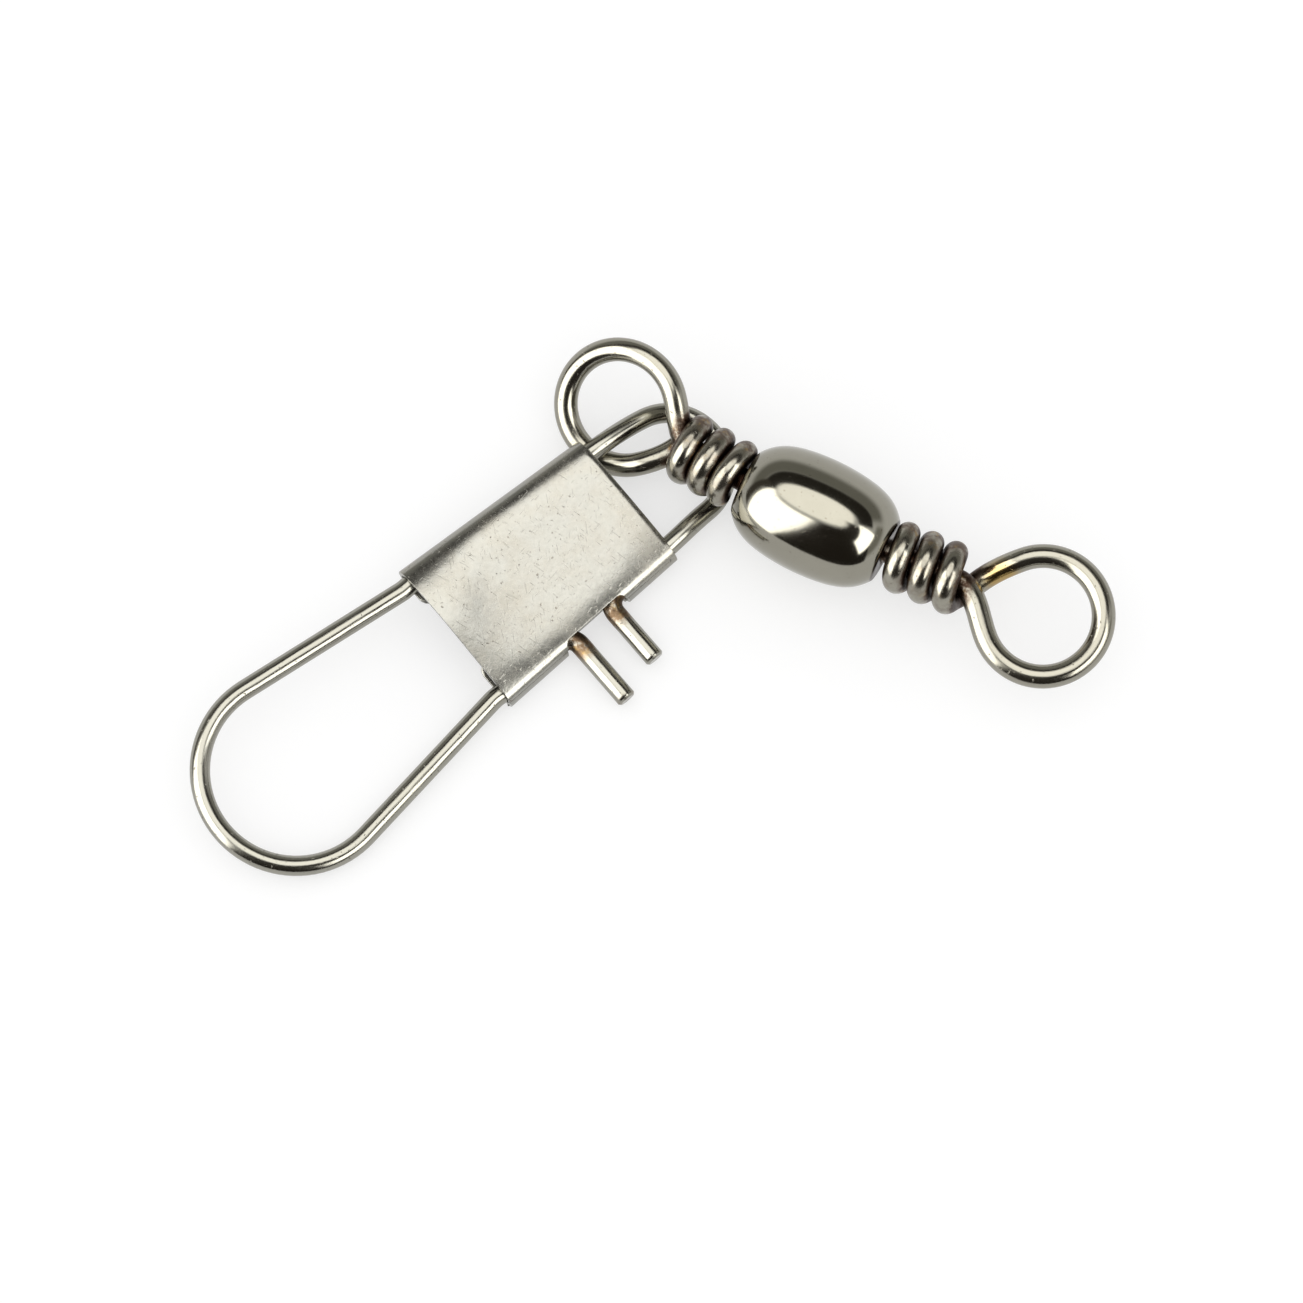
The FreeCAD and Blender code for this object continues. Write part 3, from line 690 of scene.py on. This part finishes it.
plate_metal, board = new_finish("satin_plated_sheet")
place = board.node("ShaderNodeTexCoord", out=3)
mottle = board.noise(place, 900, 6.0, 0.72)
cloud = board.noise(place, 260, 2.0)
worn = board.ramp(board.noise(place, 480, 4.0, 0.7), (0.42, 0.0), (0.75, 1.0))
grain = board.noise(place, 5200, 2.0, 0.6)
strokes = [
    board.ramp(board.noise(board.stretched(place, (long, wide, 3000), turn), 1.0, 1.0, 0.5),
               (0.0, 1.0), (edge - 0.04, 1.0), (edge, 0.0))
    for turn, long, wide, edge in (
        (50, 2200, 15000, 0.30), (-35, 1900, 16000, 0.31), (-80, 2000, 15000, 0.30))]
scratch = strokes[0] + strokes[1] + strokes[2]
pits = board.ramp(board.noise(place, 7000, 2.0), (0.0, 1.0), (0.25, 1.0), (0.30, 0.0))
shade = board.mixed(mottle, (0.295, 0.29, 0.258, 1), (0.36, 0.358, 0.335, 1))
shade = board.mixed(grain * 0.5, shade, (0.27, 0.265, 0.24, 1))
shade = board.mixed(worn * 0.55, shade, (0.33, 0.305, 0.255, 1))
shade = board.mixed(scratch * 0.12, shade, (0.20, 0.185, 0.15, 1))
shade = board.mixed(pits * 0.5, shade, (0.10, 0.07, 0.05, 1))
rough = 0.12 + 0.10 * mottle + 0.08 * worn + 0.10 * grain + 0.05 * scratch
relief = 0.7 * mottle + 1.1 * cloud + 0.2 * grain - 0.12 * scratch - 0.6 * pits
metal(board, shade, rough, relief, 0.000012)
plate.data.materials.clear()
plate.data.materials.append(plate_metal)
plate.data.shade_smooth()
plate.data.set_sharp_from_angle(angle=math.radians(40))
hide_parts("lock_plate")
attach(plate, "snap")

# --- The table top and the studio
# A plain white table top under the part, a white room, two soft boxes left and right, a soft
# overhead panel, and dark and grey cards whose reflections give the bright wire its edges.


def seen_directly(board):
    """1 for rays from the camera and for those that metal or glass sends on."""
    path = board.node("ShaderNodeLightPath")
    rays = path.socket.node.outputs
    seen, *others = (Level(board, rays[f"Is {kind} Ray"])
                     for kind in ("Camera", "Glossy", "Transmission"))
    for other in others:
        seen = seen.combined("MAXIMUM", seen, other)
    return seen


table_top, board = new_finish("white_table_top")
place = board.node("ShaderNodeTexCoord", out=3)
grain = board.noise(place, 60, 2.0)
shade = board.mixed(grain, (0.48, 0.48, 0.48, 1), (0.50, 0.50, 0.50, 1))
lit = board.node("ShaderNodeBsdfDiffuse", {}, {"Color": shade})
glow = board.node("ShaderNodeEmission", {}, {
    "Color": (1, 1, 1, 1), "Strength": 0.58 * seen_directly(board)})
both = board.node("ShaderNodeAddShader", {}, {0: lit, 1: glow})
board.node("ShaderNodeOutputMaterial", {}, {"Surface": both})
mesh = bpy.data.meshes.new("table_top")
side, cells = 3.0, 6
mesh.from_pydata([((i / cells - 0.5) * side, (k / cells - 0.5) * side, 0)
                  for i in range(cells + 1) for k in range(cells + 1)], [],
                 [(i * (cells + 1) + k, (i + 1) * (cells + 1) + k, (i + 1) * (cells + 1) + k + 1,
                   i * (cells + 1) + k + 1) for i in range(cells) for k in range(cells)])
mesh.materials.append(table_top)
floor = in_scene("table_top", mesh)

world = bpy.data.worlds.new("white_room")
bpy.context.scene.world = world
world.use_nodes = True
world.node_tree.nodes.clear()
board = Board(world.node_tree)
strength = 0.93 + 0.07 * seen_directly(board)
sky = board.node("ShaderNodeBackground", {}, {"Color": (1, 1, 1, 1), "Strength": strength})
board.node("ShaderNodeOutputWorld", {}, {"Surface": sky})


def panel(name, corners, reach, strength, tint, soft, lean=(0, 0)):
    """A card or soft box on a dome, seen only by the metal: four corners, each a bearing from
    +X and a slant off the vertical in degrees, with its edges faded over soft degrees."""
    pole = (Matrix.Rotation(math.radians(lean[1]), 3, "Z")
            @ Matrix.Rotation(math.radians(lean[0]), 3, "Y"))
    near, far, far_end, near_end = (Vector(corner) for corner in corners)
    whole = abs(near_end.x - near.x) >= 360
    cells = 32
    points, rim = [], []
    for i in range(cells + 1):
        for k in range(cells + 1):
            inner, outer = near.lerp(near_end, i / cells), far.lerp(far_end, i / cells)
            turn, tip = (math.radians(a) for a in inner.lerp(outer, k / cells))
            flat, rise = math.sin(tip), math.cos(tip)
            points.append(
                pole @ Vector((flat * math.cos(turn), flat * math.sin(turn), rise)) * reach)
            width = abs(near_end.x - near.x) * math.sin(tip)
            depth = (outer - inner).y
            fade = 1.0 if whole else eased(min(i, cells - i) / cells * width, 0, soft)
            if inner.y > 1:
                fade *= eased(k / cells * depth, 0, soft)
            if outer.y < 89:
                fade *= eased((cells - k) / cells * depth, 0, soft)
            rim.append(fade)
    mesh = bpy.data.meshes.new(name)
    mesh.from_pydata(points, [], [
        (i * (cells + 1) + k, i * (cells + 1) + k + 1,
         (i + 1) * (cells + 1) + k + 1, (i + 1) * (cells + 1) + k)
        for i in range(cells) for k in range(cells)])
    layer = mesh.attributes.new("rim", "FLOAT", "POINT")
    layer.data.foreach_set("value", rim)
    cloth, board = new_finish(name)
    edge = board.node("ShaderNodeAttribute", {"attribute_name": "rim"}, out=2)
    clear = board.node("ShaderNodeBsdfTransparent")
    glow = board.node("ShaderNodeEmission", {}, {"Color": (*tint, 1), "Strength": strength})
    both = board.node("ShaderNodeMixShader", {}, {0: edge, 1: clear, 2: glow})
    board.node("ShaderNodeOutputMaterial", {}, {"Surface": both})
    mesh.materials.append(cloth)
    card = in_scene(name, mesh)
    card.visible_camera = False
    card.visible_shadow = False
    card.visible_diffuse = False


WARM, AMBER = (1, 0.99, 0.96), (1, 0.9, 0.75)
panel("right_soft_box", ((-2, 27), (-14, 66), (-66, 70), (-66, 40)), 0.50, 4.8, WARM, 3)
panel("left_soft_box", ((146, 30), (190, 90), (226, 90), (240, 20)), 0.53, 4.8, WARM, 4)
panel("far_strip_card", ((144, 30), (189, 90), (160, 90), (130, 50)), 0.55, 0.10, AMBER, 4)
panel("viewer_dark_card", ((236, 18), (224, 90), (304, 90), (362, 12)),
      0.56, 0.035, (1, 0.85, 0.7), 5)
panel("far_dark_card", ((158, 30), (158, 53), (-6, 58), (-6, 27)), 0.57, 0.04, AMBER, 4)
panel("overhead_panel", ((0, 0), (0, 28), (360, 28), (360, 0)), 0.60, 2.8, WARM, 5, lean=(10, 95))
panel("far_grey_card", ((178, 42), (178, 88), (2, 88), (2, 42)), 0.62, 0.33, (1, 0.99, 0.90), 16)
panel("right_grey_card", ((-88, 60), (-88, 88), (8, 88), (8, 60)), 0.64, 0.42, (1, 0.98, 0.88), 10)

# --- The camera
# A long lens looks down on the part from the front, 15 degrees off the vertical and squarely
# across its length, as the photo was taken.

camera_data = bpy.data.cameras.new("camera")
camera_data.sensor_width = 36
camera_data.lens = 212.2
camera = in_scene("camera", camera_data)
elevation = math.radians(75)
aim, distance = Vector((-0.075, -1.387, 0.016)), 300
back = Vector((0, -math.cos(elevation), math.sin(elevation)))
camera.location = (aim + back * distance) * MM
camera.rotation_euler = (math.pi / 2 - elevation, 0, 0)
bpy.context.scene.camera = camera
bpy.context.scene.view_settings.view_transform = "Standard"
